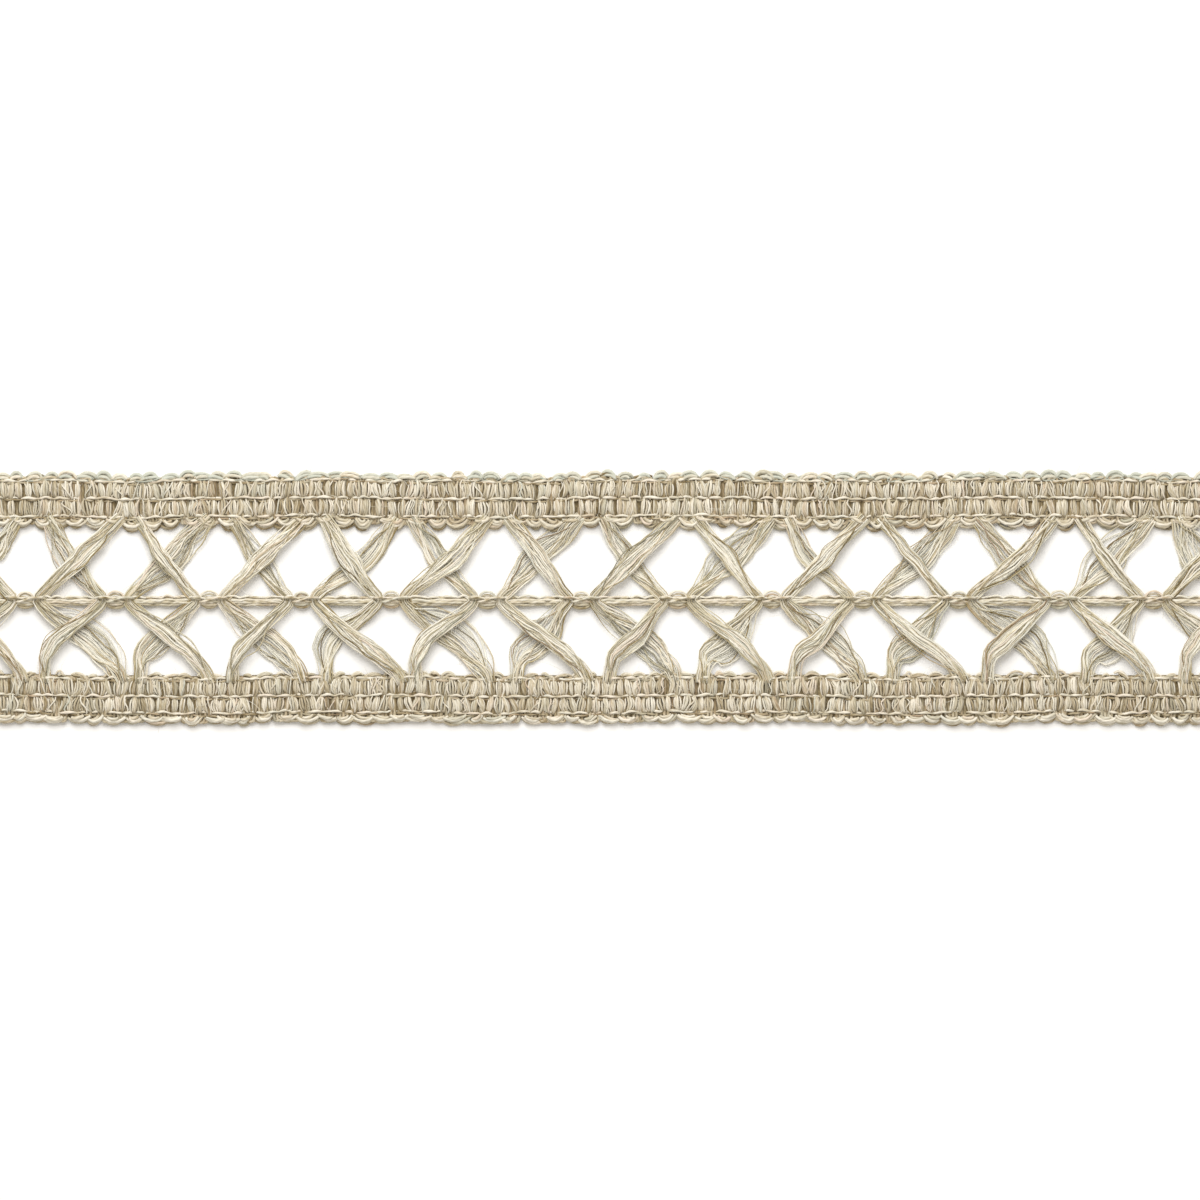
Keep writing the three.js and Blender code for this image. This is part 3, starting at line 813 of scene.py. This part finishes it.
def bundleYarns(rng, bundle):
    # the main strand and the side yarns: each has a place across the width and a layer above or below the
    # middle, both from -1 to 1, and drifts a little; where the bundle is tight they lie evenly spread
    shape, even, slack = bundleShape, bundle.even, bundle.slack
    strand, parted, spin = ropePlaces(rng, bundle)
    loose, count = len(parted), len(strand) + len(parted)
    place = np.concatenate([strand, parted]) * slack + np.linspace(-1, 1, count)[:, None] * (1 - slack)
    place = place + 0.11 * wander(rng, count, even, 30.0)
    layer = np.concatenate([0.85 * np.sin(spin), 0.6 * wander(rng, loose, even, 40.0)])
    layer = np.clip(layer + 0.15 * wander(rng, count, even, 25.0), -1, 1)
    radius = shape["yarnRadius"] * rng.uniform(0.72, 1.12, (count, 1))
    radius[-loose:] *= 0.8
    radius = radius * (1 + 0.12 * wander(rng, count, even, 19.0)) * (1 - 0.2 * (1 - slack))
    offset = place * bundle.toKnot * (bundle.wide / 2 - shape["yarnRadius"])
    height = bundle.height + layer * (shape["flatness"] * shape["thick"] / 2 - shape["yarnRadius"])
    path = yarnPaths(bundle, offset, height)
    # painted shade: darker along one edge, in the grooves between the ropes, in the lower yarns and where the
    # bundle is drawn tight at the knot and the roots
    edgeShade = np.clip(place * rng.choice([-1, 1]) - 0.65, 0, 0.25) / 0.25
    grooveShade = np.concatenate([np.abs(np.cos(spin)) ** 4, np.zeros((loose, len(even)))])
    tone = rng.normal(1.02, 0.12, (count, 1)) - rng.uniform(0.1, 0.45, (count, 1)) * edgeShade
    tone = tone - 0.24 * grooveShade + 0.12 * layer
    tone = tone + 0.09 * wander(rng, count, even, 21.0) - 0.22 * (1 - slack)
    tint = rng.normal(0.05, 0.4, (count, 1)) + 0.25 * wander(rng, count, even, 40.0)
    return yarnSkin(rng, path, radius, tone, tint, 6), path, parted[-1]


def crossYarns(rng, bundle):
    # thin yarns: a pale one follows one edge, a dark one the other, and the rest cross the bundle
    shape, line, even = bundleShape, bundle.line, bundle.even
    count = shape["crossYarns"]
    edges = [armBlend(rng, line, -1.0, -0.6), armBlend(rng, line, 0.6, 1.1)]
    free = armBlend(rng, line, -0.9, 1.4, count - 2) + 0.35 * wander(rng, count - 2, even, 40.0)
    spot = np.concatenate([*edges, free]) + 0.24 * wander(rng, count, even, 24.0)
    offset = spot * bundle.wide / 2 * bundle.slack * bundle.toKnot
    height = np.maximum(bundle.height + rng.uniform(-0.1, 0.5, (count, 1)), 0.2)
    path = yarnPaths(bundle, offset, height)
    tone = np.concatenate([[[0.65], [0.1]], rng.uniform(0.3, 0.8, (count - 2, 1))])
    tone = tone + rng.normal(0, 0.12, (count, 1))
    radius = draw(rng, shape["crossRadius"], count, 1)
    return yarnSkin(rng, path, radius, tone, rng.normal(0.1, 0.4, (count, 1)), 5)


def fibreFilm(rng, bundle, farEdge):
    # a film of unspun fibres: two in three lie between the main strand and the yarn that parted furthest
    shape, share = bundleShape, bundle.share
    count = shape["fibres"]
    between = np.arange(count) % 3 > 0
    spot = np.where(between, rng.uniform(0, 1, count), rng.uniform(-1, 0, count))[:, None]
    fan = np.where(spot > 0, 2 * share - 1.1 + spot * (farEdge - 2 * share + 1.15), spot)
    drift = 0.14 * wander(rng, count, bundle.even, 33.0) * bundle.slack
    offset = (fan * bundle.wide / 2 * bundle.slack + drift) * bundle.toKnot
    height = np.clip(bundle.height - 0.15 + 0.2 * wander(rng, count, bundle.even, 45.0), 0.1, 2.7)
    path = yarnPaths(bundle, offset, height)[:, ::2]  # every second step is enough for a fibre
    radius, tone = draw(rng, shape["fibreRadius"], count, 1), draw(rng, (0.75, 1.05), count, 1)
    return yarnSkin(rng, path, radius, tone, draw(rng, (-0.2, 0.6), count, 1), 3)


for side in ("left", "right"):
    rng = np.random.default_rng(bundleShape["seed"][side])
    skins, fibreSkins, points = [], [], []
    for row, line in bundleParts(side):
        bundle = bundleSetting(rng, side, row, line)
        skin, path, farEdge = bundleYarns(rng, bundle)
        skins += [skin, crossYarns(rng, bundle)]
        fibreSkins.append(fibreFilm(rng, bundle, farEdge))
        points.append(path.reshape(-1, 3))
    nodes = [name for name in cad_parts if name.startswith("bundle_" + side)]
    yarnPiece("bundle_yarns_" + side, skins, bundleYarn, nodes)
    yarnPiece("bundle_fibres_" + side, fibreSkins, flaxFibre)
    anchors.append((np.concatenate(points), 1.2))
print("bundles made")


# Yarns of the chain: level across, height, thickness, arch to the side and arch in height, where its
# stitches start, shade, and whether it passes over or under the bundles at the knots. The yarns that
# lie low are given darker shades, painted shade under the cord.
yarnKeys = ("y", "z", "radius", "archY", "archZ", "shift", "tone", "over")
chainShape = {
    "yarns": [dict(zip(yarnKeys, row)) for row in [
        (-0.12, 1.36, 0.29, 0.1, 0.1, 0.0, 0.82, False),
        (-0.5, 1.24, 0.31, 0.1, 0.1, 0.3, 0.74, False),
        (-0.95, 0.9, 0.32, 0.1, 0.1, 0.5, 0.68, False),
        (0.42, 1.34, 0.21, 0.34, 0.2, 0.2, 0.95, True),
        (0.34, 1.0, 0.25, 0.12, 0.1, 0.7, 0.58, True),
        (0.1, 0.5, 0.42, 0.1, 0.05, 0.1, 0.5, False),
        (-0.5, 0.45, 0.36, 0.1, 0.05, 0.6, 0.5, False),
    ]],
    "stepsPerStitch": 8,
    "overEye": 2.5,  # heights of yarns that pass over a bundle and under it
    "underEye": 0.45,
    # loops of a knot: half length, rise, where they spring from, height, thickness and shade; the dark low
    # loop beneath is painted shade
    "loops": [
        (1.6, 1.35, 0.3, 1.7, 0.24, 0.88), (1.3, 0.85, 0.3, 1.4, 0.2, 0.62), (1.2, 0.4, 0.2, 1.2, 0.24, 0.7),
        (1.8, -1.1, -0.4, 0.9, 0.4, 0.48), (1.6, -0.5, -0.45, 1.3, 0.3, 0.7),
        (1.3, -0.15, -0.35, 1.5, 0.24, 0.8),
    ],
    "loopSteps": 22,
    "tieHalf": 3.4,  # half length of the two yarns that cross in a knot
    "tieRadius": 0.2,
    "tieHeights": (0.5, 2.65),
}


def chainCords(rng):
    # each yarn runs along x with one arch a stitch; near an eye it lifts over the bundle or dips under it
    shape = chainShape
    x = endToEnd(trim["stitches"] * shape["stepsPerStitch"] + 1, trim["cordGap"])
    knots = np.array([knotX(knot) for knot in trim["wholeKnots"]])
    away = np.abs(x[:, None] - knots[None, :]).min(1)
    eye = np.exp(-((away - bundleShape["apex"]) / 1.0) ** 2)
    middle = 1 - ease(away, 1.0, 3.6)
    yarns = []
    for yarn in shape["yarns"]:
        pace = x / trim["stitch"] + yarn["shift"] + 0.22 * wander(rng, 1, x, 21.0)[0]
        arch = np.abs(np.sin(math.pi * pace)) * np.clip(1 + 0.5 * wander(rng, 1, x, 12.0)[0], 0.3, 1.5)
        y = (yarn["y"] + yarn["archY"] * arch) * (1 - 0.25 * middle) + 0.07 * wander(rng, 1, x, 13.0)[0]
        sinks = 0.5 if yarn["over"] else 0.25
        z = yarn["z"] + yarn["archZ"] * arch - sinks * ease(wander(rng, 1, x, 9.0)[0], 0.1, 0.7)
        lift = middle * (0.35 if yarn["over"] else 0.25)
        level = shape["overEye"] if yarn["over"] else shape["underEye"]
        z = z + lift + eye * (level - z - lift)
        radius = yarn["radius"] * (1 + 0.09 * wander(rng, 1, x, 6.0)[0]) * (1 - 0.25 * middle)
        tone = yarn["tone"] + 0.1 * wander(rng, 1, x, 8.0)[0]
        yarns.append((np.stack([x, y, z], 1), radius, tone, 0.4 * wander(rng, 1, x, 40.0)[0]))
    return [np.array(part) for part in zip(*yarns)]


def knotLoops(rng):
    # a loop is half an ellipse: x = half length * sin t, y = from + rise * cos t, and two yarns cross
    # between them as y = tanh x, over one bundle and under the other
    shape = chainShape
    t = np.linspace(-1.75, 1.75, shape["loopSteps"])
    span = np.linspace(-shape["tieHalf"], shape["tieHalf"], shape["loopSteps"])
    loops = []
    for knot in trim["wholeKnots"]:
        centre = knotX(knot) + rng.uniform(-0.15, 0.15)
        for long, rise, start, height, radius, tone in shape["loops"]:
            size = rng.uniform(0.88, 1.1)
            x = centre + long * np.sin(t) * size
            y = start + rise * np.cos(t) * size
            z = height - 0.3 * np.sin(t) ** 2
            loops.append((np.stack([x, y, z], 1), radius, tone + 0 * t))
        for sign in (-1, 1):
            y = sign * 0.45 * np.tanh(span * 0.9) + 0.05
            over, under = np.exp(-((span - 2.6) / 0.8) ** 2), np.exp(-((span + 2.6) / 0.8) ** 2)
            z = np.clip(1.95 + 0.25 * sign + (0.5 * over - 1.2 * under) * sign, *shape["tieHeights"])
            # painted shade: the crossing yarns are darkened where they go under, in the middle and at the
            # bundles, and the lower of the two is darker throughout
            underShade = np.exp(-(span / 0.4) ** 2) + np.exp(-((np.abs(span) - 2.2) / 0.5) ** 2)
            tone = (0.85 if sign > 0 else 0.7) - 0.45 * underShade
            loops.append((np.stack([centre + span, y, z], 1), shape["tieRadius"], tone))
    paths = np.array([path for path, _, _ in loops])
    radii = np.array([[radius] for _, radius, _ in loops]) * (1 + 0.1 * wander(rng, len(loops), t, 2.0))
    tones = np.array([tone for _, _, tone in loops]) + 0.08 * wander(rng, len(loops), t, 2.0)
    return paths, radii, tones, rng.normal(0, 0.4, (len(loops), 1))


rng = np.random.default_rng(31)
cords, loops = chainCords(rng), knotLoops(rng)
yarnPiece("centre_chain_yarns", [yarnSkin(rng, *cords, 6), yarnSkin(rng, *loops, 7)],
          chainYarn, ["centre_chain"])
anchors.append((cords[0].reshape(-1, 3), 0.7))
print("centre chain made")


strayShape = {
    "count": 1350,
    "steps": 7,
    "length": (1.0, 4.0),
    "radius": (0.02, 0.045),
    "heights": (0.08, 3.4),
    "tone": (0.6, 1.0),
    "tint": 0.15,
    "seed": 51,
}


def strayFibres(rng):
    # each fibre leaves a yarn and curls: start + direction * s + bend * s squared, and stays off the floor
    shape = strayShape
    share = np.array([weight for _, weight in anchors])
    counts = (shape["count"] * share / share.sum()).astype(int)
    starts = np.concatenate([points[rng.integers(0, len(points), many)]
                             for (points, _), many in zip(anchors, counts)])
    many = len(starts)
    heading = rng.uniform(0, 2 * math.pi, many)
    rise = rng.normal(0.15, 0.3, many)
    direction = np.stack([np.cos(heading), np.sin(heading), rise], 1)
    bend = rng.normal(0, 0.16, (many, 3)) * np.array([1, 1, 0.5])
    length = draw(rng, shape["length"], many, 1, 1) * draw(rng, (0.4, 1), many, 1, 1)
    s = np.linspace(0, 1, shape["steps"])[None, :, None] * length
    path = starts[:, None] + direction[:, None] * s + bend[:, None] * s ** 2
    path[:, :, 2] = np.clip(path[:, :, 2], *shape["heights"])
    radius = draw(rng, shape["radius"], many, 1) * np.linspace(1, 0.5, shape["steps"])[None]
    return yarnSkin(rng, path, radius, draw(rng, shape["tone"], many, 1), shape["tint"], 3)


rng = np.random.default_rng(strayShape["seed"])
yarnPiece("stray_fibres", [strayFibres(rng)], flaxFibre)
print("stray fibres made")


# In metres: a white sheet of paper, a warm pale surround and one softbox beyond the upper edge
studio = {
    "paper": [(0.0, "#f6f6f6"), (1.0, "#fcfcfc")],
    "paperSize": 4.0,
    "paperLevel": -0.00005,
    "surround": "#fffaf2",
    "surroundPower": 0.64,
    "softboxSize": 0.75,
    "softboxPower": 11.0,
    "softboxPlace": (-0.1, 0.7, 0.78),
    "cameraHeight": 2.0,  # with this lens and sensor it frames 240 mm
    "lens": 300,
    "sensor": 36,
}

# matte white paper, so pale that it clips to the white of the photo
floorMaterial, tree = newMaterial("matte white paper")
coords = addNode(tree, "TexCoord")
mottle = addNode(tree, "TexNoise", Vector=coords.outputs["Object"], Scale=30.0)
paper = addNode(tree, "ValToRGB", stops=studio["paper"], Fac=mottle)
matte = addNode(tree, "BsdfPrincipled", Base_Color=paper, Roughness=0.95)
addNode(tree, "OutputMaterial", Surface=matte)
floorMesh = bpy.data.meshes.new("floor")
half, level = studio["paperSize"] / 2, studio["paperLevel"]
corners = [(-half, -half, level), (half, -half, level), (half, half, level), (-half, half, level)]
floorMesh.from_pydata(corners, [], [(0, 1, 2, 3)])
floorMesh.materials.append(floorMaterial)
floor = newObject("floor", floorMesh)

world = bpy.data.worlds.new("studio")
bpy.context.scene.world = world
world.use_nodes = True
background = world.node_tree.nodes["Background"]
background.inputs["Color"].default_value = linear(studio["surround"])
background.inputs["Strength"].default_value = studio["surroundPower"]

keyData = bpy.data.lights.new("key softbox", "AREA")
keyData.shape = "SQUARE"
keyData.size = studio["softboxSize"]
keyData.energy = studio["softboxPower"]
key = newObject("key softbox", keyData)
keyX, keyY, keyZ = studio["softboxPlace"]
key.location = (keyX, keyY, keyZ)
key.rotation_euler = (-math.atan2(keyY, keyZ), 0, math.atan2(-keyX, keyY))  # faces the trim

cameraData = bpy.data.cameras.new("camera")
cameraData.sensor_width = studio["sensor"]
cameraData.lens = studio["lens"]
camera = newObject("camera", cameraData)
camera.location = (0, 0, studio["cameraHeight"])
bpy.context.scene.camera = camera
bpy.context.scene.view_settings.view_transform = "Standard"
print("floor, light and camera made")
